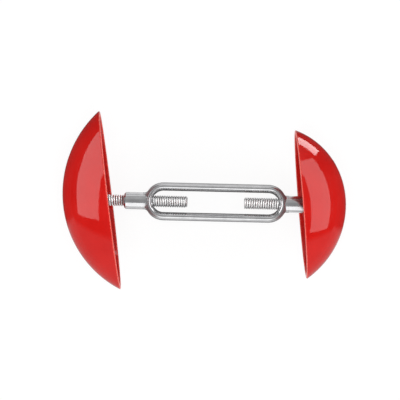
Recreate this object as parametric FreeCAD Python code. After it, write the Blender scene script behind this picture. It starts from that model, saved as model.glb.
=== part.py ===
"""Shoe stretcher: two hollow dome heads on screw rods, spread by a turnbuckle loop and its two sleeves.

Each side is worked out along +X from the loop's middle, with the rods on the X axis. The large side is
then turned half round, and everything is moved so that the stretcher lies on Z zero, centred in X.
"""
import FreeCAD, Part
import math
import os

# Driving dimensions, in millimetres, with angles in degrees

# Screw thread of a quarter inch, twenty turns to the inch
thread_diameter = 6.35
thread_pitch = 1.27
thread_depth = 0.78
thread_crest_share = 0.125
thread_root_share = 0.25
thread_face_turn_share = 0.25

# Screw rods, one with a right-hand and one with a left-hand thread
rod_length = 52.0
rod_window = 31.2
large_rod_chamfer = 0.8
small_rod_chamfer = 0.4
rod_seat_chamfer = 0.6

# Turnbuckle loop, with bars of oval section, and its collars
loop_length = 78.0
loop_width = 20.7
loop_bar = 4.4
loop_thickness = 10.0
collar_reach = 0.9

# Threaded sleeves, each with a spigot that goes through the collar
sleeve_diameter = 9.3
sleeve_reach = 10.2
sleeve_mouth_chamfer = 0.7
spigot_wall = 0.75
running_clearance = 0.05

# Dome heads, with the length and width taken at the rim
head_width = 44.0
head_wall = 2.2
rim_edge_radius = 0.5
rest_flat_depth = 0.4
large_head_length = 99.2
large_head_depth = 26.1
large_head_lean = 8.1
large_apex_rise = 0.5
large_rod_cover = 16.4
small_head_length = 82.2
small_head_depth = 25.0
small_head_lean = 5.8
small_apex_rise = 1.6
small_rod_cover = 3.9

# Rod boss inside each head, its ribs and the nut in its pocket
boss_grip = 7.2
boss_wall = 2.2
rib_thickness = 2.0
rib_recess = 1.5
nut_across_flats = 11.1
nut_thickness = 5.6
nut_chamfer = 0.6
fit_clearance = 0.05
seat_clearance = 0.2

# How far cutting shapes run past what they cut
cut_overrun = 0.1

rod_radius = thread_diameter / 2
bore_radius = rod_radius + running_clearance
rod_start = rod_window / 2
rod_end = rod_start + rod_length
loop_end = loop_length / 2
collar_end = loop_end + collar_reach
sleeve_end = collar_end + sleeve_reach
sleeve_radius = sleeve_diameter / 2
spigot_radius = bore_radius + spigot_wall
nut_corner_radius = nut_across_flats / math.sqrt(3)
boss_face = rod_end - boss_grip
boss_radius = nut_corner_radius + boss_wall

along_x = FreeCAD.Vector(1, 0, 0)
along_z = FreeCAD.Vector(0, 0, 1)
centre = FreeCAD.Vector(0, 0, 0)
drawing = FreeCAD.newDocument()


def cylinder(radius, start, end):
    """Cylinder on the rods' axis."""
    return Part.makeCylinder(radius, end - start, FreeCAD.Vector(start, 0, 0), along_x)


def end_edges(shape, place):
    """Round edges of a shape that lie square to the rods' axis at a place along it."""
    found = []
    for edge in shape.Edges:
        box = edge.BoundBox
        if max(abs(box.XMin - place), abs(box.XMax - place)) < cut_overrun:
            found.append(edge)
    return found


def hexagon(across_flats, start, end):
    """Six-sided bar on the rods' axis, with two corners up and down."""
    radius = across_flats / math.sqrt(3)
    corners = []
    for number in range(7):
        angle = math.radians(60 * number)
        corners.append(FreeCAD.Vector(start, radius * math.sin(angle), radius * math.cos(angle)))
    outline = Part.Face(Part.makePolygon(corners))
    return outline.extrude(FreeCAD.Vector(end - start, 0, 0))


def thread_path(run, radius, left_handed):
    """Helix up Z, in short stretches so that the faces swept along it stay short too."""
    helix = drawing.addObject("Part::Helix")
    helix.Pitch = thread_pitch
    helix.Height = run
    helix.Radius = radius
    helix.SegmentLength = thread_face_turn_share
    helix.LocalCoord = 1 if left_handed else 0
    drawing.recompute()
    return Part.Wire(helix.Shape.Edges)


def screw_rod(window_chamfer, left_handed):
    """Rod with a helical groove cut along all of it, and a chamfer at both ends."""
    blank = cylinder(rod_radius, rod_start, rod_end)
    blank = blank.makeChamfer(window_chamfer, end_edges(blank, rod_start))
    blank = blank.makeChamfer(rod_seat_chamfer, end_edges(blank, rod_end))
    run = rod_length + 2 * thread_pitch
    root_radius = rod_radius - thread_depth
    path = thread_path(run, root_radius, left_handed)
    half_root = thread_root_share * thread_pitch / 2
    half_mouth = (1 - thread_crest_share) * thread_pitch / 2
    flank_slope = (half_mouth - half_root) / thread_depth
    half_outside = half_mouth + flank_slope * cut_overrun
    outside = rod_radius + cut_overrun
    section = [
        FreeCAD.Vector(root_radius, 0, -half_root),
        FreeCAD.Vector(outside, 0, -half_outside),
        FreeCAD.Vector(outside, 0, half_outside),
        FreeCAD.Vector(root_radius, 0, half_root),
        FreeCAD.Vector(root_radius, 0, -half_root),
    ]
    groove = path.makePipeShell([Part.makePolygon(section)], True, True)
    groove.rotate(centre, FreeCAD.Vector(0, 1, 0), 90)
    groove.translate(FreeCAD.Vector(rod_start - thread_pitch, 0, 0))
    return blank.cut(groove)


def oval_face(place, side):
    """Oval section of a bar, square to X and taller than wide, at a place in X and Y."""
    middle = FreeCAD.Vector(place, side, 0)
    top = FreeCAD.Vector(place, side, loop_thickness / 2)
    outer = FreeCAD.Vector(place, side + loop_bar / 2, 0)
    return Part.Face(Part.Wire(Part.Ellipse(top, outer, middle).toShape()))


def turnbuckle_loop():
    """Ring of oval section, with a round collar at each end and a hole through both for the spigots."""
    bar_side = (loop_width - loop_bar) / 2
    turn = (loop_length - loop_width) / 2
    bar_run = FreeCAD.Vector(2 * turn, 0, 0)
    upper_bar = oval_face(-turn, bar_side).extrude(bar_run)
    lower_bar = oval_face(-turn, -bar_side).extrude(bar_run)
    right_bend = oval_face(turn, -bar_side).revolve(FreeCAD.Vector(turn, 0, 0), along_z, 180)
    left_bend = oval_face(-turn, bar_side).revolve(FreeCAD.Vector(-turn, 0, 0), along_z, 180)
    collar_start = loop_end - loop_bar / 2
    right_collar = cylinder(sleeve_radius, collar_start, collar_end)
    left_collar = cylinder(sleeve_radius, -collar_end, -collar_start)
    ring = upper_bar.fuse([lower_bar, right_bend, left_bend, right_collar, left_collar])
    hole_end = collar_end + cut_overrun
    hole = cylinder(spigot_radius + running_clearance, -hole_end, hole_end)
    return ring.removeSplitter().cut(hole)


def thread_sleeve():
    """Sleeve that the rod screws through, with a spigot that ends level with the inside of the loop."""
    shoulder = collar_end + running_clearance
    sleeve = cylinder(sleeve_radius, shoulder, sleeve_end)
    sleeve = sleeve.makeChamfer(sleeve_mouth_chamfer, end_edges(sleeve, sleeve_end))
    spigot_start = loop_end - loop_bar
    sleeve = sleeve.fuse(cylinder(spigot_radius, spigot_start, shoulder)).removeSplitter()
    return sleeve.cut(cylinder(bore_radius, spigot_start - cut_overrun, sleeve_end + cut_overrun))


def nut():
    """Hexagon nut on the rod, with its corners turned off at both faces."""
    back = boss_face + nut_thickness
    turned = cylinder(nut_corner_radius, boss_face, back)
    turned = turned.makeChamfer(nut_chamfer, end_edges(turned, boss_face) + end_edges(turned, back))
    blank = hexagon(nut_across_flats, boss_face, back).common(turned)
    return blank.cut(cylinder(rod_radius + fit_clearance, boss_face - cut_overrun, back + cut_overrun))


def dome(length, width, depth, apex_rise):
    """Cap of a ball on the plane X zero, squeezed to its width and with its top moved along Y."""
    radius = ((length / 2) ** 2 + depth ** 2) / (2 * depth)
    ball = Part.makeSphere(radius)
    ball.rotate(centre, along_z, 180)
    ball.translate(FreeCAD.Vector(depth - radius, 0, 0))
    front = Part.makeBox(depth + radius, 2 * radius, 2 * radius, FreeCAD.Vector(0, -radius, -radius))
    squeeze = FreeCAD.Matrix()
    squeeze.A21 = apex_rise / depth
    squeeze.A33 = width / length
    return ball.common(front).transformGeometry(squeeze)


def rim_edges(shell, rim_middle, rim_square):
    """Edges of a head that lie in its rim's plane, given by a point and the direction square to it."""
    found = []
    for edge in shell.Edges:
        heights = [abs((point - rim_middle).dot(rim_square)) for point in edge.discretize(9)]
        if max(heights) < cut_overrun:
            found.append(edge)
    return found


def dome_head(length, depth, lean, apex_rise, rod_cover):
    """Hollow head with a leaning rim, the rod's boss, two ribs and the flats that it lies on."""
    rim_place = rod_end + rod_cover - depth
    outside = dome(length, head_width, depth, apex_rise)
    hollow = dome(length - 2 * head_wall, head_width - 2 * head_wall, depth - head_wall, apex_rise)
    for shape in (outside, hollow):
        shape.rotate(centre, along_z, lean)
        shape.translate(FreeCAD.Vector(rim_place, 0, 0))
    far_end = rim_place + depth
    rib_start = boss_face + rib_recess
    rib_corner = FreeCAD.Vector(rib_start, -rib_thickness / 2, -head_width / 2)
    ribs = Part.makeBox(far_end - rib_start, rib_thickness, head_width, rib_corner)
    hollow = hollow.cut(cylinder(boss_radius, boss_face, far_end)).cut(ribs)
    shell = outside.cut(hollow)
    pocket_flats = nut_across_flats + 2 * fit_clearance
    shell = shell.cut(hexagon(pocket_flats, boss_face - cut_overrun, boss_face + nut_thickness))
    shell = shell.cut(cylinder(rod_radius + fit_clearance, boss_face, rod_end + seat_clearance))
    flat_height = head_width / 2 - rest_flat_depth
    slab_corner = FreeCAD.Vector(rim_place - length, -length, -flat_height)
    shell = shell.common(Part.makeBox(2 * length, 2 * length, 2 * flat_height, slab_corner))
    rim_square = FreeCAD.Vector(math.cos(math.radians(lean)), math.sin(math.radians(lean)), 0)
    rim = rim_edges(shell, FreeCAD.Vector(rim_place, 0, 0), rim_square)
    return shell.makeFillet(rim_edge_radius, rim)


small_side = {
    "small_head_shell": dome_head(
        small_head_length, small_head_depth, small_head_lean, small_apex_rise, small_rod_cover
    ),
    "small_head_nut": nut(),
    "small_head_rod": screw_rod(small_rod_chamfer, True),
    "small_side_sleeve": thread_sleeve(),
}
large_side = {
    "large_head_shell": dome_head(
        large_head_length, large_head_depth, large_head_lean, large_apex_rise, large_rod_cover
    ),
    "large_head_nut": nut(),
    "large_head_rod": screw_rod(large_rod_chamfer, False),
    "large_side_sleeve": thread_sleeve(),
}
for shape in large_side.values():
    shape.rotate(centre, along_z, 180)

pieces = {"turnbuckle_loop": turnbuckle_loop(), **small_side, **large_side}
box = Part.makeCompound(list(pieces.values())).optimalBoundingBox()
to_origin = FreeCAD.Vector(-(box.XMin + box.XMax) / 2, 0, -box.ZMin)
os.makedirs("parts", exist_ok=True)
for name, shape in pieces.items():
    shape.translate(to_origin)
    shape.exportStep("parts/" + name + ".step")
    print(name, "solids", len(shape.Solids), "valid", shape.isValid(), "volume", round(shape.Volume, 2))
print("loop middle at", tuple(round(value, 4) for value in to_origin))
print("box", round(box.XLength, 3), round(box.YLength, 3), round(box.ZLength, 3))
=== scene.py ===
import bmesh
import bpy
import math
import numpy as np
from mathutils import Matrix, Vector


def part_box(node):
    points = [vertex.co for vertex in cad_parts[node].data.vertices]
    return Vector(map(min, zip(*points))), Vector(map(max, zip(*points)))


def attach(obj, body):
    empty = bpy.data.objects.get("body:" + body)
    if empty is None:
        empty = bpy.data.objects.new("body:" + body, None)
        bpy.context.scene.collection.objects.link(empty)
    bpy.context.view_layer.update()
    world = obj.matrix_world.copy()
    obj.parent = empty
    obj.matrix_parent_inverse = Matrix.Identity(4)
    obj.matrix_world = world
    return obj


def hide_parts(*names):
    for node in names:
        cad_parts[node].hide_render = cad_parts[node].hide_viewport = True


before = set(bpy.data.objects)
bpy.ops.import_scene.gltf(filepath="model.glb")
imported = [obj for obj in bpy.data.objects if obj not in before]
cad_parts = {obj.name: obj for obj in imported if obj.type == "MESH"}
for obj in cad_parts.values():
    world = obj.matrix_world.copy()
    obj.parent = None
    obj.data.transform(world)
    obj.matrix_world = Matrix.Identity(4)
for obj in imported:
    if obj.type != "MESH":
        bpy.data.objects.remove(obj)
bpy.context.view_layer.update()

mm = 0.001
axisHeight = sum(corner.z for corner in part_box("large_head_rod")) / 2  # height of the rods' axis
print("frame loaded,", len(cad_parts), "nodes, rods at height", round(axisHeight / mm, 2), "mm")


# Mesh helpers

def meshFromFaces(name, points, quads, triangles=None):
    # points is (n, 3) in metres, quads (q, 4) and triangles (t, 3) are point numbers
    triangles = np.zeros((0, 3), int) if triangles is None else triangles
    corners = np.concatenate([quads.ravel(), triangles.ravel()]).astype(np.int32)
    sizes = np.concatenate([np.full(len(quads), 4), np.full(len(triangles), 3)]).astype(np.int32)
    mesh = bpy.data.meshes.new(name)
    mesh.vertices.add(len(points))
    mesh.vertices.foreach_set("co", points.astype(np.float32).ravel())
    mesh.loops.add(len(corners))
    mesh.loops.foreach_set("vertex_index", corners)
    mesh.polygons.add(len(sizes))
    mesh.polygons.foreach_set("loop_start", (np.cumsum(sizes) - sizes).astype(np.int32))
    mesh.polygons.foreach_set("loop_total", sizes)
    mesh.polygons.foreach_set("use_smooth", np.ones(len(sizes), bool))
    mesh.update(calc_edges=True)
    mesh.validate()
    piece = bpy.data.objects.new(name, mesh)
    bpy.context.scene.collection.objects.link(piece)
    return piece


def ringQuads(rows, columns, closeRows=False):
    # quads of a grid that is closed along its columns, and along its rows too if asked
    row = np.arange(rows if closeRows else rows - 1)[:, None]
    column = np.arange(columns)[None, :]
    after = (row + 1) % rows
    beside = (column + 1) % columns
    quads = np.stack([
        row * columns + column, row * columns + beside, after * columns + beside, after * columns + column,
    ], axis=-1)
    return quads.reshape(-1, 4)


def fan(pole, first, columns):
    # triangles from a pole to a closed ring of points that starts at the point first
    column = np.arange(columns)
    beside = (column + 1) % columns
    return np.stack([np.full_like(column, pole), first + column, first + beside], axis=-1)


def recalculate(piece):
    # turns the faces of a closed mesh outwards
    editable = bmesh.new()
    editable.from_mesh(piece.data)
    bmesh.ops.recalc_face_normals(editable, faces=editable.faces)
    editable.to_mesh(piece.data)
    editable.free()


def finishPiece(piece, body, material, sharpAngle):
    recalculate(piece)
    piece.data.set_sharp_from_angle(angle=math.radians(sharpAngle))
    piece.data.materials.append(material)
    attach(piece, body)


# Materials

def newMaterial(name):
    material = bpy.data.materials.new(name)
    material.use_nodes = True
    tree = material.node_tree
    shader = tree.nodes["Principled BSDF"]
    coordinates = tree.nodes.new("ShaderNodeTexCoord")
    return material, tree, shader, coordinates.outputs["Object"]


def matteMaterial(name, colour):
    # one rough colour without gloss
    material, tree, shader, coordinates = newMaterial(name)
    shader.inputs["Base Color"].default_value = (*colour, 1)
    shader.inputs["Roughness"].default_value = 1.0
    shader.inputs["Specular IOR Level"].default_value = 0.0
    return material, tree, shader, coordinates


def axes(tree, coordinates):
    # x, y and z of a place, as three sockets
    split = tree.nodes.new("ShaderNodeSeparateXYZ")
    tree.links.new(coordinates, split.inputs["Vector"])
    return [split.outputs[axis] for axis in "XYZ"]


def noise(tree, coordinates, scale, detail, stretch=(1, 1, 1)):
    # noise on Object coordinates, stretched along an axis where it follows a tool's marks
    mapping = tree.nodes.new("ShaderNodeMapping")
    mapping.inputs["Scale"].default_value = stretch
    texture = tree.nodes.new("ShaderNodeTexNoise")
    texture.inputs["Scale"].default_value = scale
    texture.inputs["Detail"].default_value = detail
    tree.links.new(coordinates, mapping.inputs["Vector"])
    tree.links.new(mapping.outputs["Vector"], texture.inputs["Vector"])
    return texture.outputs["Fac"]


def ranged(tree, value, low, high, start=0.3, end=0.7):
    # value from start to end becomes low to high; a noise keeps mostly between the two that are set here
    remap = tree.nodes.new("ShaderNodeMapRange")
    remap.inputs["From Min"].default_value = start
    remap.inputs["From Max"].default_value = end
    remap.inputs["To Min"].default_value = low
    remap.inputs["To Max"].default_value = high
    tree.links.new(value, remap.inputs["Value"])
    return remap.outputs["Result"]


def blended(tree, share, first, second):
    # colour from first, a colour or a socket, to second as share goes from 0 to 1
    mix = tree.nodes.new("ShaderNodeMix")
    mix.data_type = "RGBA"
    if isinstance(first, tuple):
        mix.inputs["A"].default_value = (*first, 1)
    else:
        tree.links.new(first, mix.inputs["A"])
    mix.inputs["B"].default_value = (*second, 1)
    tree.links.new(share, mix.inputs["Factor"])
    return mix.outputs["Result"]


def mathNode(tree, operation, *values):
    # values are sockets or plain numbers
    node = tree.nodes.new("ShaderNodeMath")
    node.operation = operation
    for number, value in enumerate(values):
        if isinstance(value, (int, float)):
            node.inputs[number].default_value = value
        else:
            tree.links.new(value, node.inputs[number])
    return node.outputs["Value"]


def hypotenuse(tree, first, second):
    # square root of first squared + second squared
    squares = [mathNode(tree, "MULTIPLY", value, value) for value in (first, second)]
    return mathNode(tree, "SQRT", mathNode(tree, "ADD", *squares))


def bumped(tree, shader, height, distance):
    bump = tree.nodes.new("ShaderNodeBump")
    bump.inputs["Distance"].default_value = distance
    bump.inputs["Strength"].default_value = 1.0
    tree.links.new(height, bump.inputs["Height"])
    tree.links.new(bump.outputs["Normal"], shader.inputs["Normal"])


# the heads' shape and place, as their shells have them
headPlan = {
    "width": 44 * mm, "wall": 2.2 * mm,
    "large": {
        "length": 99.2 * mm, "depth": 26.1 * mm, "lean": 8.1, "apexRise": 0.5 * mm, "rodCover": 16.4 * mm,
    },
    "small": {
        "length": 82.2 * mm, "depth": 25.0 * mm, "lean": 5.8, "apexRise": 1.6 * mm, "rodCover": 3.9 * mm,
    },
}


def headPlace(size):
    # the way a head points along X, where its rim crosses the rods' axis, and its lean
    head = headPlan[size]
    rodLow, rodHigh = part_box(size + "_head_rod")
    direction = 1 if size == "small" else -1
    rodEnd = rodHigh.x if size == "small" else -rodLow.x
    return direction, rodEnd + head["rodCover"] - head["depth"], math.radians(head["lean"])


# the loop's shape and place, as its node has them
loopPlan = {"collarReach": 0.9 * mm, "bar": 4.4 * mm}
loopLow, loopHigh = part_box("turnbuckle_loop")
loopMiddle = np.array([(loopLow.x + loopHigh.x) / 2, 0, axisHeight])
loopHalfLength = (loopHigh.x - loopLow.x) / 2
loopEndRadius = (loopHigh.y - loopLow.y) / 2
loopHalfThickness = (loopHigh.z - loopLow.z) / 2
loopTurn = loopHalfLength - loopPlan["collarReach"] - loopEndRadius  # where the bars start to bend


# a noise is given by its scale, its detail and, where it follows a tool's marks, its stretch
redPlasticLook = {
    "deepColour": (0.57, 0.007, 0.005), "brightColour": (0.63, 0.012, 0.009), "cloudNoise": (60, 4),
    "roughness": (0.04, 0.08), "glossNoise": (140, 3), "specularLevel": 0.38,
    "rippleDepth": 0.003 * mm, "rippleNoise": (320, 1),
    "rimHighlightColour": (0.90, 0.12, 0.09), "rimHighlightRoughness": 0.25, "rimHighlightStart": 0.62 * mm, "rimHighlightEnd": 0.30 * mm,
    "rimHighlightWander": 0.15 * mm, "rimHighlightNoise": (900, 4),
}


def redPlastic(size):
    # moulded gloss plastic: cloudy colour, faint mould ripple, gloss that varies a little, and a painted
    # highlight along the rim, a pale, rougher band for the light line on its edge; depth behind the rim =
    # (along the rods - rim's place) * cos(lean) + along the head * sin(lean)
    look = redPlasticLook
    material, tree, shader, coordinates = newMaterial(size + "HeadPlastic")
    direction, rimPlace, lean = headPlace(size)
    x, y = axes(tree, coordinates)[:2]
    alongRods = mathNode(tree, "MULTIPLY", x, direction * math.cos(lean))
    alongHead = mathNode(tree, "MULTIPLY", y, direction * math.sin(lean))
    along = mathNode(tree, "ADD", alongRods, alongHead)
    depth = mathNode(tree, "SUBTRACT", along, rimPlace * math.cos(lean))
    # painted highlight: a pale band just behind the rim's edge, its edge made to wander by a noise
    wander = look["rimHighlightWander"]
    patchy = ranged(tree, noise(tree, coordinates, *look["rimHighlightNoise"]), -wander, wander)
    paintedRimHighlight = ranged(tree, mathNode(tree, "ADD", depth, patchy), 1, 0, look["rimHighlightEnd"], look["rimHighlightStart"])
    cloud = noise(tree, coordinates, *look["cloudNoise"])
    colour = blended(tree, ranged(tree, cloud, 0, 1), look["deepColour"], look["brightColour"])
    tree.links.new(blended(tree, paintedRimHighlight, colour, look["rimHighlightColour"]), shader.inputs["Base Color"])
    gloss = ranged(tree, noise(tree, coordinates, *look["glossNoise"]), *look["roughness"])
    gloss = mathNode(tree, "ADD", gloss, mathNode(tree, "MULTIPLY", paintedRimHighlight, look["rimHighlightRoughness"]))
    tree.links.new(gloss, shader.inputs["Roughness"])
    shader.inputs["Specular IOR Level"].default_value = look["specularLevel"]
    bumped(tree, shader, noise(tree, coordinates, *look["rippleNoise"]), look["rippleDepth"])
    return material


platedSteelLook = {
    "dullColour": (0.50, 0.50, 0.51), "brightColour": (0.62, 0.62, 0.63), "cloudNoise": (220, 4),
    "turnedRoughness": (0.10, 0.20), "castRoughness": (0.12, 0.22), "polishNoise": (900, 2, (0.05, 1, 1)),
    "waveDepth": 0.012 * mm, "waveNoise": (160, 2),
    "castEdgeTint": (0.50, 0.50, 0.50),
    "cornerShadeColour": (0.33, 0.33, 0.34), "cornerRoughness": 0.22, "cornerScatter": 0.50,
    "cornerStart": 8.5 * mm, "cornerEnd": 5.0 * mm, "collarEdge": 4.6 * mm, "bendEdge": 5.1 * mm,
    "outerStart": -0.2 * mm, "outerEnd": 0.6 * mm,
}


def bendCorner(tree, coordinates):
    # 1 on the outer half of the loop's bends, clear of its collars, and 0 elsewhere: where the loop gets its
    # painted shade and duller finish
    look = platedSteelLook
    x, y, z = axes(tree, coordinates)
    fromMiddle = mathNode(tree, "ABSOLUTE", mathNode(tree, "SUBTRACT", x, float(loopMiddle[0])))
    fromEnd = mathNode(tree, "SUBTRACT", loopHalfLength, fromMiddle)
    fromTurn = mathNode(tree, "SUBTRACT", fromMiddle, loopTurn)
    fromAxis = hypotenuse(tree, y, mathNode(tree, "SUBTRACT", z, axisHeight))
    fromBend = hypotenuse(tree, y, fromTurn)
    barMiddle = loopEndRadius - loopPlan["bar"] / 2
    outerStart = barMiddle + look["outerStart"]
    outerEnd = barMiddle + look["outerEnd"]
    nearEnd = ranged(tree, fromEnd, 1, 0, look["cornerEnd"], look["cornerStart"])
    offCollar = ranged(tree, fromAxis, 0, 1, look["collarEdge"], look["bendEdge"])
    outerHalf = ranged(tree, fromBend, 0, 1, outerStart, outerEnd)
    return mathNode(tree, "MULTIPLY", mathNode(tree, "MULTIPLY", nearEnd, offCollar), outerHalf)


def platedSteel(name, roughness, castLoop=False):
    # polished, then plated: soft waves under the plating and fine polishing lines along the piece; the loop
    # is duller and rougher in the corners beside its collars, where the polishing wheel doesn't reach, and a
    # painted shade darkens its colour there
    look = platedSteelLook
    material, tree, shader, coordinates = newMaterial(name)
    cloud = noise(tree, coordinates, *look["cloudNoise"])
    colour = blended(tree, ranged(tree, cloud, 0, 1), look["dullColour"], look["brightColour"])
    polish = ranged(tree, noise(tree, coordinates, *look["polishNoise"]), *roughness)
    shader.inputs["Metallic"].default_value = 1.0
    if castLoop:
        shader.inputs["Specular Tint"].default_value = (*look["castEdgeTint"], 1)
        corner = bendCorner(tree, coordinates)
        # painted shade: darker colour on the outer half of the bends beside the collars
        colour = blended(tree, corner, colour, look["cornerShadeColour"])
        polish = mathNode(tree, "ADD", polish, mathNode(tree, "MULTIPLY", corner, look["cornerRoughness"]))
        tree.links.new(ranged(tree, corner, 1, 1 - look["cornerScatter"], 0, 1), shader.inputs["Metallic"])
    tree.links.new(colour, shader.inputs["Base Color"])
    tree.links.new(polish, shader.inputs["Roughness"])
    bumped(tree, shader, noise(tree, coordinates, *look["waveNoise"]), look["waveDepth"])
    return material


grooveShadedRodLook = {
    "large": {"grooveShadeColour": (0.11, 0.11, 0.115), "crestLitColour": (0.88, 0.88, 0.88), "metallic": 1.0},
    # the small rod's brighter crests and lower metallic are painted light, for the shade the small head casts
    # on it
    "small": {"grooveShadeColour": (0.06, 0.06, 0.063), "crestLitColour": (0.93, 0.93, 0.93), "metallic": 0.7},
    "grooveShadeStart": 0.2, "grooveShadeEnd": 0.7, "grooveShadeWander": 0.12, "grooveShadeNoise": (700, 4),
    "roughness": (0.40, 0.50), "marksNoise": (1500, 2, (1, 0.2, 0.2)),
}


def grooveShadedRod(size):
    # rolled thread: a painted shade darkens the grooves and a painted highlight keeps the crests bright; the
    # small head's rod has brighter crests and is less metallic, painted light that makes up for the small
    # head's shade on it
    look = grooveShadedRodLook
    rod = look[size]
    material, tree, shader, coordinates = newMaterial(size + "RodSteel")
    crest = tree.nodes.new("ShaderNodeAttribute")
    crest.attribute_name = "crest"
    # painted shade in the grooves and painted highlight on the crests, from the thread's crest height with a
    # little noise
    wander = look["grooveShadeWander"]
    patchy = ranged(tree, noise(tree, coordinates, *look["grooveShadeNoise"]), -wander, wander)
    crestLight = mathNode(tree, "ADD", crest.outputs["Fac"], patchy)
    share = ranged(tree, crestLight, 0, 1, look["grooveShadeStart"], look["grooveShadeEnd"])
    colour = blended(tree, share, rod["grooveShadeColour"], rod["crestLitColour"])
    tree.links.new(colour, shader.inputs["Base Color"])
    marks = noise(tree, coordinates, *look["marksNoise"])
    tree.links.new(ranged(tree, marks, *look["roughness"]), shader.inputs["Roughness"])
    shader.inputs["Metallic"].default_value = rod["metallic"]
    return material


zincSteelLook = {
    "dullColour": (0.50, 0.51, 0.52), "brightColour": (0.66, 0.66, 0.65), "spangleNoise": (700, 5),
    "roughness": (0.30, 0.45), "glossNoise": (1200, 3),
}


def zincSteel():
    # plain zinc plated nut, with the spangle of its plating
    look = zincSteelLook
    material, tree, shader, coordinates = newMaterial("zincSteel")
    spangle = noise(tree, coordinates, *look["spangleNoise"])
    colour = blended(tree, ranged(tree, spangle, 0, 1), look["dullColour"], look["brightColour"])
    tree.links.new(colour, shader.inputs["Base Color"])
    gloss = noise(tree, coordinates, *look["glossNoise"])
    tree.links.new(ranged(tree, gloss, *look["roughness"]), shader.inputs["Roughness"])
    shader.inputs["Metallic"].default_value = 1.0
    return material


headPlastic = {size: redPlastic(size) for size in ("large", "small")}
turnedSteel = platedSteel("turnedSteel", platedSteelLook["turnedRoughness"])
castSteel = platedSteel("castSteel", platedSteelLook["castRoughness"], castLoop=True)
rodSteel = {size: grooveShadedRod(size) for size in ("large", "small")}
nutSteel = zincSteel()
nodeMaterials = {
    "large_head_shell": headPlastic["large"], "small_head_shell": headPlastic["small"],
    "large_head_nut": nutSteel, "small_head_nut": nutSteel,
    "large_head_rod": rodSteel["large"], "small_head_rod": rodSteel["small"],
    "turnbuckle_loop": castSteel, "large_side_sleeve": turnedSteel, "small_side_sleeve": turnedSteel,
}
for nodeName, material in nodeMaterials.items():
    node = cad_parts[nodeName]
    node.data.materials.clear()
    node.data.materials.append(material)
print("materials on", len(nodeMaterials), "nodes")


# Screw rods

threadRod = {
    "pitch": 1.27 * mm, "depth": 0.78 * mm, "shoulderDrop": 0.24 * mm,
    "edges": (0.04, 0.35, 0.44),  # of crest, shoulder and groove, from the crest's middle in pitches
    "largeChamfer": 0.8 * mm, "smallChamfer": 0.4 * mm, "seatChamfer": 0.6 * mm,
    "endBrightness": 0.4,  # sheared ends, greyer than the crests
    "rowsPerTurn": 28, "columns": 64, "sharpAngle": 40,
}


def screwRod(size, leftHanded, lowChamfer, highChamfer):
    # radius = outside - drop(x / pitch - angle / full turn), cut back by a chamfer at both ends; a rolled
    # thread drops slowly over its rounded shoulder and then quickly into its groove
    spec = threadRod
    node = size + "_head_rod"
    low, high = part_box(node)
    rodRadius = (high.z - low.z) / 2
    columns = spec["columns"]
    rows = int(round((high.x - low.x) / spec["pitch"] * spec["rowsPerTurn"])) + 1
    x = np.linspace(low.x, high.x, rows)[:, None]
    angle = np.linspace(0, 2 * np.pi, columns, endpoint=False)[None, :]
    hand = 1 if leftHanded else -1
    phase = x / spec["pitch"] + hand * angle / (2 * np.pi)
    fromCrest = np.abs((phase + 0.5) % 1 - 0.5)
    crestEdge, shoulderEdge, grooveEdge = spec["edges"]
    shoulder = np.clip((fromCrest - crestEdge) / (shoulderEdge - crestEdge), 0, 1)
    groove = np.clip((fromCrest - shoulderEdge) / (grooveEdge - shoulderEdge), 0, 1)
    groove = groove * groove * (3 - 2 * groove)
    radius = rodRadius - spec["shoulderDrop"] * shoulder - (spec["depth"] - spec["shoulderDrop"]) * groove
    radius = np.minimum(radius, rodRadius - lowChamfer + (x - low.x))
    radius = np.minimum(radius, rodRadius - highChamfer + (high.x - x))
    grid = np.stack([x + 0 * angle, radius * np.cos(angle), axisHeight + radius * np.sin(angle)], axis=-1)
    poles = np.array([[low.x, 0, axisHeight], [high.x, 0, axisHeight]])
    points = np.concatenate([grid.reshape(-1, 3), poles])
    lowPole = rows * columns
    fans = np.concatenate([fan(lowPole, 0, columns), fan(lowPole + 1, (rows - 1) * columns, columns)])
    piece = meshFromFaces(size + "RodThread", points, ringQuads(rows, columns), fans)
    crest = np.concatenate([1 - groove.ravel(), np.full(len(poles), spec["endBrightness"])])
    piece.data.attributes.new("crest", "FLOAT", "POINT").data.foreach_set("value", crest.astype(np.float32))
    finishPiece(piece, size + "_end", rodSteel[size], spec["sharpAngle"])
    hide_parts(node)


screwRod("large", False, threadRod["seatChamfer"], threadRod["largeChamfer"])
screwRod("small", True, threadRod["smallChamfer"], threadRod["seatChamfer"])
print("screw rods made")


# Turnbuckle loop: blends at its collars and the casting's parting line

sleeveLow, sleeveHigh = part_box("large_side_sleeve")
collarRadius = (sleeveHigh.z - sleeveLow.z) / 2


def loopEndFace(y, z):
    # x of the loop's oval end: turn + square root of (bend's radius to the oval's outside at that height)
    # squared - y squared
    halfBar = loopPlan["bar"] / 2
    outside = loopEndRadius - halfBar + halfBar * np.sqrt(np.maximum(1 - (z / loopHalfThickness) ** 2, 0))
    return loopTurn + np.sqrt(np.maximum(outside ** 2 - y ** 2, 0))


collarBlend = {
    "largeSide": {"along": 1.6 * mm, "out": 1.0 * mm, "direction": -1},
    "smallSide": {"along": 0.8 * mm, "out": 0.4 * mm, "direction": 1},
    "topOut": 0.34 * mm, "sunk": 0.25 * mm, "columns": 96, "steps": 9, "sharpAngle": 60,
}


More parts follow.
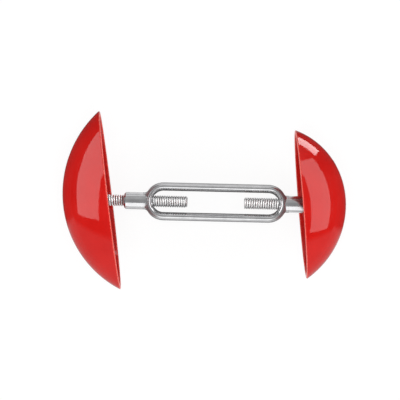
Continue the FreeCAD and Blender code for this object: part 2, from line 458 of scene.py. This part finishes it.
def collarFillet(name, side):
    # concave ring where a collar leaves the loop: a curve of the second degree from the collar to the loop's
    # end, with the corner between them as its middle point, and a sunk point behind it that closes the ring
    spec = collarBlend[side]
    angle = np.linspace(0, 2 * np.pi, collarBlend["columns"], endpoint=False)[:, None]
    step = np.linspace(0, 1, collarBlend["steps"])[None, :]
    out = spec["out"] * np.abs(np.cos(angle)) + collarBlend["topOut"]
    corner = loopEndFace(collarRadius * np.cos(angle), collarRadius * np.sin(angle))
    wide = collarRadius + out
    onLoop = loopEndFace(wide * np.cos(angle), wide * np.sin(angle))
    x = (1 - step) ** 2 * (corner + spec["along"]) + 2 * step * (1 - step) * corner + step ** 2 * onLoop
    radius = (1 - step) ** 2 * collarRadius + 2 * step * (1 - step) * collarRadius + step ** 2 * wide
    x = np.concatenate([x, corner - collarBlend["sunk"]], axis=1)
    radius = np.concatenate([radius, np.full_like(corner, collarRadius - collarBlend["sunk"])], axis=1)
    grid = np.stack([spec["direction"] * x, radius * np.cos(angle), radius * np.sin(angle)], axis=-1)
    points = (grid + loopMiddle).reshape(-1, 3)
    piece = meshFromFaces(name, points, ringQuads(*grid.shape[:2], closeRows=True))
    finishPiece(piece, "loop", castSteel, collarBlend["sharpAngle"])


partingLine = {
    "halfWidth": 0.28 * mm, "height": 0.10 * mm, "sunk": 0.08 * mm, "taper": 2.5 * mm, "thinnest": 0.02,
    "outerEnd": 6.0 * mm, "innerEnd": 4.7 * mm, "pathPoints": 160, "profilePoints": 9, "sharpAngle": 60,
}


def seamPath(radius, start, end):
    # path round one long side of an oblong ring of that end radius, with its outward direction: quarter bend
    # from the start angle, straight bar, quarter bend to the end angle
    count = partingLine["pathPoints"] // 3
    first = np.linspace(start, np.pi / 2, count)
    second = np.linspace(np.pi / 2, end, count)
    bar = np.linspace(loopTurn, -loopTurn, count + 2)[1:-1]
    x = np.concatenate([loopTurn + radius * np.cos(first), bar, -loopTurn + radius * np.cos(second)])
    y = np.concatenate([radius * np.sin(first), np.full(count, radius), radius * np.sin(second)])
    outX = np.concatenate([np.cos(first), np.zeros(count), np.cos(second)])
    outY = np.concatenate([np.sin(first), np.ones(count), np.sin(second)])
    return np.stack([x, y], axis=-1), np.stack([outX, outY], axis=-1)


def castSeam(name, path, outward, side):
    # low ridge left by the casting's two halves: half an ellipse carried along the path, tapering to almost
    # nothing at both ends
    spec = partingLine
    length = np.concatenate([[0], np.cumsum(np.linalg.norm(np.diff(path, axis=0), axis=1))])
    fromEnd = np.minimum(length, length[-1] - length)
    share = np.clip(fromEnd / spec["taper"], spec["thinnest"], 1)[:, None]
    angle = np.linspace(0, np.pi, spec["profilePoints"])[None, :]
    rise = np.concatenate([spec["height"] * share * np.sin(angle), -spec["sunk"] + 0 * share], axis=1)
    across = np.concatenate([spec["halfWidth"] * share * np.cos(angle), 0 * share], axis=1)
    plan = path[:, None, :] + rise[:, :, None] * outward[:, None, :]
    grid = np.concatenate([plan, across[:, :, None]], axis=-1) * np.array([1, side, 1]) + loopMiddle
    rows, columns = grid.shape[:2]
    column = np.arange(1, columns - 1)
    startCap = np.stack([np.zeros_like(column), column + 1, column], axis=-1)
    endCap = np.stack([np.zeros_like(column), column, column + 1], axis=-1) + (rows - 1) * columns
    caps = np.concatenate([startCap, endCap])
    piece = meshFromFaces(name, grid.reshape(-1, 3), ringQuads(rows, columns), caps)
    finishPiece(piece, "loop", castSteel, spec["sharpAngle"])


collarFillet("largeCollarBlend", "largeSide")
collarFillet("smallCollarBlend", "smallSide")
outerStart = math.asin(partingLine["outerEnd"] / loopEndRadius)
outerPath, outerDirection = seamPath(loopEndRadius, outerStart, math.pi - outerStart)
innerRadius = loopEndRadius - loopPlan["bar"]
innerStart = math.asin(partingLine["innerEnd"] / innerRadius)
innerPath, innerDirection = seamPath(innerRadius, innerStart, math.pi - innerStart)
for sideName, side in (("Upper", 1), ("Lower", -1)):
    castSeam("outerCastSeam" + sideName, outerPath, outerDirection, side)
    castSeam("innerCastSeam" + sideName, innerPath, -innerDirection, side)
print("loop dressed")


# Heads: ejector marks on the inside

ejectorMark = {
    "radius": 1.7 * mm, "height": 0.14 * mm, "edgeDrop": 0.5, "edgePower": 8,
    "sunk": 0.05 * mm, "bottomSunk": 0.10 * mm, "rings": 7, "columns": 40, "sharpAngle": 50,
    "lengthShares": (-0.62, -0.36, 0.36, 0.62), "sideShares": (-0.42, 0.0, 0.42), "farthestShare": 0.7,
}


def hollowPoint(size, y, z):
    # point on a head's inner wall: cap of a ball, squeezed to its width, its top moved along y, then leant
    # and placed
    head = headPlan[size]
    length = head["length"] - 2 * headPlan["wall"]
    width = headPlan["width"] - 2 * headPlan["wall"]
    depth = head["depth"] - headPlan["wall"]
    radius = ((length / 2) ** 2 + depth ** 2) / (2 * depth)
    x = depth - radius + np.sqrt(radius ** 2 - y ** 2 - (z * length / width) ** 2)
    y = y + head["apexRise"] / depth * x
    direction, rimPlace, lean = headPlace(size)
    alongX = rimPlace + x * math.cos(lean) - y * math.sin(lean)
    alongY = x * math.sin(lean) + y * math.cos(lean)
    return np.stack([direction * alongX, direction * alongY, axisHeight + z], axis=-1)


def ejectorMarks(name, size):
    # low round marks that follow the wall: rise = height * (1 - edge drop * (distance / radius) to the edge
    # power), with the outermost ring below the wall
    spec = ejectorMark
    along, across = (share.ravel() for share in np.meshgrid(spec["lengthShares"], spec["sideShares"]))
    kept = along ** 2 + across ** 2 < spec["farthestShare"] ** 2
    y = along[kept] * headPlan[size]["length"] / 2
    z = across[kept] * headPlan["width"] / 2
    middle = hollowPoint(size, y, z)
    alongWall = hollowPoint(size, y + spec["radius"], z) - middle
    acrossWall = hollowPoint(size, y, z + spec["radius"]) - middle
    inward = np.cross(acrossWall, alongWall)
    inward /= np.linalg.norm(inward, axis=-1, keepdims=True)
    rings, columns = spec["rings"], spec["columns"]
    ring = np.linspace(0, 1, rings + 1)[1:][None, :, None]
    angle = np.linspace(0, 2 * np.pi, columns, endpoint=False)[None, None, :]
    top = spec["height"] * (1 - spec["edgeDrop"] * ring ** spec["edgePower"])
    rise = np.where(ring < 1, top, -spec["sunk"])[..., None]
    wall = hollowPoint(size, y[:, None, None] + spec["radius"] * ring * np.cos(angle),
                       z[:, None, None] + spec["radius"] * ring * np.sin(angle))
    marks = (wall + rise * inward[:, None, None, :]).reshape(len(y), -1, 3)
    poles = np.stack([middle + spec["height"] * inward, middle - spec["bottomSunk"] * inward], axis=1)
    points = np.concatenate([marks, poles], axis=1)
    topPole = rings * columns
    fans = np.concatenate([fan(topPole, 0, columns), fan(topPole + 1, (rings - 1) * columns, columns)])
    first = (np.arange(len(y)) * points.shape[1])[:, None, None]  # number of each mark's first point
    quads = (first + ringQuads(rings, columns)).reshape(-1, 4)
    triangles = (first + fans).reshape(-1, 3)
    piece = meshFromFaces(name, points.reshape(-1, 3), quads, triangles)
    finishPiece(piece, size + "_end", headPlastic[size], spec["sharpAngle"])


ejectorMarks("largeHeadEjectorMarks", "large")
ejectorMarks("smallHeadEjectorMarks", "small")
print("heads dressed")


# Studio: floor, world, lamps, flag and camera

# the floor beside the heads is dim in reflections, as with dark cards there, which gives the heads their dark
# edges, and a painted shadow dims its glow in reflections under the metal between them
floorLook = {
    "size": 6.0, "colour": (0.12, 0.12, 0.12), "glow": 0.895,
    "cardStart": 48 * mm, "cardEnd": 62 * mm,
    "gapLength": 88 * mm, "gapWidth": 60 * mm, "gapEdge": 0.03,
    "frontShare": 0.60, "frontSlant": 0.25, "frontStart": 8 * mm, "frontEnd": 0 * mm,
    "shadeMiddle": -4 * mm, "shadeShare": 0.2, "shadeStart": 10 * mm, "shadeEnd": 24 * mm,
}


def studioFloor():
    # pale floor that takes the shadow, with a little glow towards the camera and in reflections
    look = floorLook
    half = look["size"] / 2
    corners = np.array([[-half, -half, 0], [half, -half, 0], [half, half, 0], [-half, half, 0]])
    floor = meshFromFaces("studioFloor", corners, np.array([[0, 1, 2, 3]]))
    material, tree, shader, coordinates = matteMaterial("paleFloor", look["colour"])
    shader.inputs["Emission Color"].default_value = (1, 1, 1, 1)
    x, y = axes(tree, coordinates)[:2]
    fromCentre = mathNode(tree, "ABSOLUTE", x)
    between = ranged(tree, fromCentre, 1, 0, look["cardStart"], look["cardEnd"])
    # pale gap between the stretcher and the cards: square root of (x / length) squared + (y / width) squared
    # is below 1 there
    along = mathNode(tree, "DIVIDE", x, look["gapLength"])
    sideways = mathNode(tree, "DIVIDE", y, look["gapWidth"])
    outward = hypotenuse(tree, along, sideways)
    gap = ranged(tree, outward, 1, 0, 1 - look["gapEdge"], 1 + look["gapEdge"])
    between = mathNode(tree, "MAXIMUM", between, gap)
    # the cards end in front along a slanted line: y + slant * distance from the centre below start
    slanted = mathNode(tree, "ADD", y, mathNode(tree, "MULTIPLY", fromCentre, look["frontSlant"]))
    front = ranged(tree, slanted, look["frontShare"], 0, look["frontEnd"], look["frontStart"])
    between = mathNode(tree, "MAXIMUM", between, front)
    # painted shadow: the floor's glow in reflections is dimmed under the metal, around y = shade middle
    fromShade = mathNode(tree, "ABSOLUTE", mathNode(tree, "SUBTRACT", y, look["shadeMiddle"]))
    beside = ranged(tree, fromShade, look["shadeShare"], 1, look["shadeStart"], look["shadeEnd"])
    under = mathNode(tree, "LESS_THAN", fromCentre, look["cardStart"])
    beside = mathNode(tree, "MAXIMUM", beside, mathNode(tree, "SUBTRACT", 1.0, under))
    path = tree.nodes.new("ShaderNodeLightPath")
    mirrored = mathNode(tree, "MAXIMUM", path.outputs["Is Glossy Ray"], path.outputs["Is Transmission Ray"])
    mirrored = mathNode(tree, "MULTIPLY", mirrored, mathNode(tree, "MULTIPLY", between, beside))
    seen = mathNode(tree, "MAXIMUM", path.outputs["Is Camera Ray"], mirrored)
    tree.links.new(mathNode(tree, "MULTIPLY", seen, look["glow"]), shader.inputs["Emission Strength"])
    floor.data.materials.append(material)


worldLook = {
    "overhead": 0.42, "farGlow": 0.16, "farStart": 0.2, "farEnd": 0.5,
    "sideShare": 0.2, "sideStart": 0.3, "sideEnd": 0.7,
    "nearGlow": 0.5, "nearTilt": 0.25, "nearStart": -0.33, "nearEnd": -0.25,
}


def studioWorld():
    # grey overhead and far away, dark cards to the left and right, and a paler wall near the camera's lower
    # edge
    look = worldLook
    world = bpy.data.worlds.new("studioWorld")
    world.use_nodes = True
    tree = world.node_tree
    x, y, z = axes(tree, tree.nodes.new("ShaderNodeTexCoord").outputs["Generated"])
    far = ranged(tree, y, 0, look["farGlow"], look["farStart"], look["farEnd"])
    level = mathNode(tree, "ADD", far, look["overhead"])
    sideways = mathNode(tree, "ABSOLUTE", x)
    side = ranged(tree, sideways, 1, look["sideShare"], look["sideStart"], look["sideEnd"])
    slant = mathNode(tree, "ADD", y, mathNode(tree, "MULTIPLY", z, look["nearTilt"]))
    near = ranged(tree, slant, look["nearGlow"], 0, look["nearStart"], look["nearEnd"])
    strength = mathNode(tree, "ADD", mathNode(tree, "MULTIPLY", level, side), near)
    path = tree.nodes.new("ShaderNodeLightPath")
    strength = mathNode(tree, "MAXIMUM", strength, path.outputs["Is Camera Ray"])  # white behind the floor
    tree.links.new(strength, tree.nodes["Background"].inputs["Strength"])
    tree.nodes["Background"].inputs["Color"].default_value = (1, 1, 1, 1)
    bpy.context.scene.world = world


# azimuth 0 is to the right in the photo's view and 90 is up; strength 1 is as bright as white paper
lampLook = {
    "leftSoftbox": {
        "azimuth": 167.5, "elevation": 29, "distance": 1.0, "width": 0.96, "height": 0.56, "strength": 2.9,
        "glossOnly": True,
    },
    "rightSoftbox": {
        "azimuth": 14, "elevation": 31, "distance": 1.0, "width": 1.15, "height": 0.52, "strength": 2.7,
        "glossOnly": True,
    },
    "leftFill": {
        "azimuth": 174, "elevation": 18, "distance": 1.2, "width": 0.9, "height": 0.5, "strength": 3.7,
        "fillOnly": True,
    },
    "rightFill": {
        "azimuth": 6, "elevation": 18, "distance": 1.2, "width": 0.9, "height": 0.5, "strength": 4.7,
        "fillOnly": True,
    },
    "topFill": {
        "azimuth": -90, "elevation": 84, "distance": 1.2, "width": 0.9, "height": 0.9, "strength": 2.5,
        "fillOnly": True,
    },
    "farPanel": {
        "azimuth": 92, "elevation": 12, "distance": 1.2, "width": 0.8, "height": 0.34, "strength": 0.5,
    },
    "nearPanel": {
        "azimuth": -91, "elevation": 31, "distance": 1.2, "width": 0.7, "height": 1.3, "strength": 0.75,
    },
}
# small bright card on the floor past the small head's upper end, seen in reflections only
cornerCard = {
    "x": 112.6 * mm, "y": 113.8 * mm, "azimuth": 54, "width": 47 * mm, "height": 44 * mm, "strength": 9.0,
}


def areaLamp(name, place, azimuth, elevation, width, height, strength):
    # lamp that shines along its own -Z: turned about X to its height, then about Z to its azimuth
    light = bpy.data.lights.new(name, "AREA")
    light.shape = "RECTANGLE"
    light.size, light.size_y = width, height
    light.energy = strength * math.pi * width * height
    holder = bpy.data.objects.new(name, light)
    holder.location = place
    holder.rotation_euler = (math.pi / 2 - elevation, 0, azimuth + math.pi / 2)
    bpy.context.scene.collection.objects.link(holder)
    return holder


def studioLamps():
    aim = np.array([0, 0, axisHeight])
    for name, lamp in lampLook.items():
        azimuth, elevation = math.radians(lamp["azimuth"]), math.radians(lamp["elevation"])
        level = math.cos(elevation)
        towards = np.array([level * math.cos(azimuth), level * math.sin(azimuth), math.sin(elevation)])
        holder = areaLamp(name, aim + lamp["distance"] * towards, azimuth, elevation,
                          lamp["width"], lamp["height"], lamp["strength"])
        holder.visible_diffuse = not lamp.get("glossOnly", False)
        holder.visible_glossy = not lamp.get("fillOnly", False)
    card = cornerCard
    place = (card["x"], card["y"], card["height"] / 2)
    holder = areaLamp("cornerCard", place, math.radians(card["azimuth"]), 0,
                      card["width"], card["height"], card["strength"])
    holder.visible_diffuse = False


# grey card beside the small head, unseen by the camera, which keeps the corner card's glare off the head's
# flank in views from the front
flagLook = {
    "xLow": 70 * mm, "xHigh": 104 * mm, "y": 25 * mm, "height": 40 * mm, "colour": (0.22, 0.22, 0.22),
}


def studioFlag():
    look = flagLook
    low, high, y, top = look["xLow"], look["xHigh"], look["y"], look["height"]
    corners = np.array([[low, y, 0], [high, y, 0], [high, y, top], [low, y, top]])
    flag = meshFromFaces("studioFlag", corners, np.array([[0, 1, 2, 3]]))
    flag.data.materials.append(matteMaterial("flagCloth", look["colour"])[0])
    flag.visible_camera = False
    flag.visible_diffuse = False
    flag.visible_shadow = False


cameraLook = {"x": -2.3 * mm, "y": 1.2 * mm, "height": 853 * mm, "viewWidth": 219.4 * mm, "roll": 1.35}


def studioCamera():
    # straight down, turned a little so that the rods slope down to the right
    camera = bpy.data.cameras.new("camera")
    camera.lens = camera.sensor_width * cameraLook["height"] / cameraLook["viewWidth"]
    holder = bpy.data.objects.new("camera", camera)
    holder.location = (cameraLook["x"], cameraLook["y"], axisHeight + cameraLook["height"])
    holder.rotation_euler = (0, 0, math.radians(cameraLook["roll"]))
    bpy.context.scene.collection.objects.link(holder)
    bpy.context.scene.camera = holder


studioFloor()
studioWorld()
studioLamps()
studioFlag()
studioCamera()
bpy.context.scene.view_settings.view_transform = "Standard"
print("studio set")
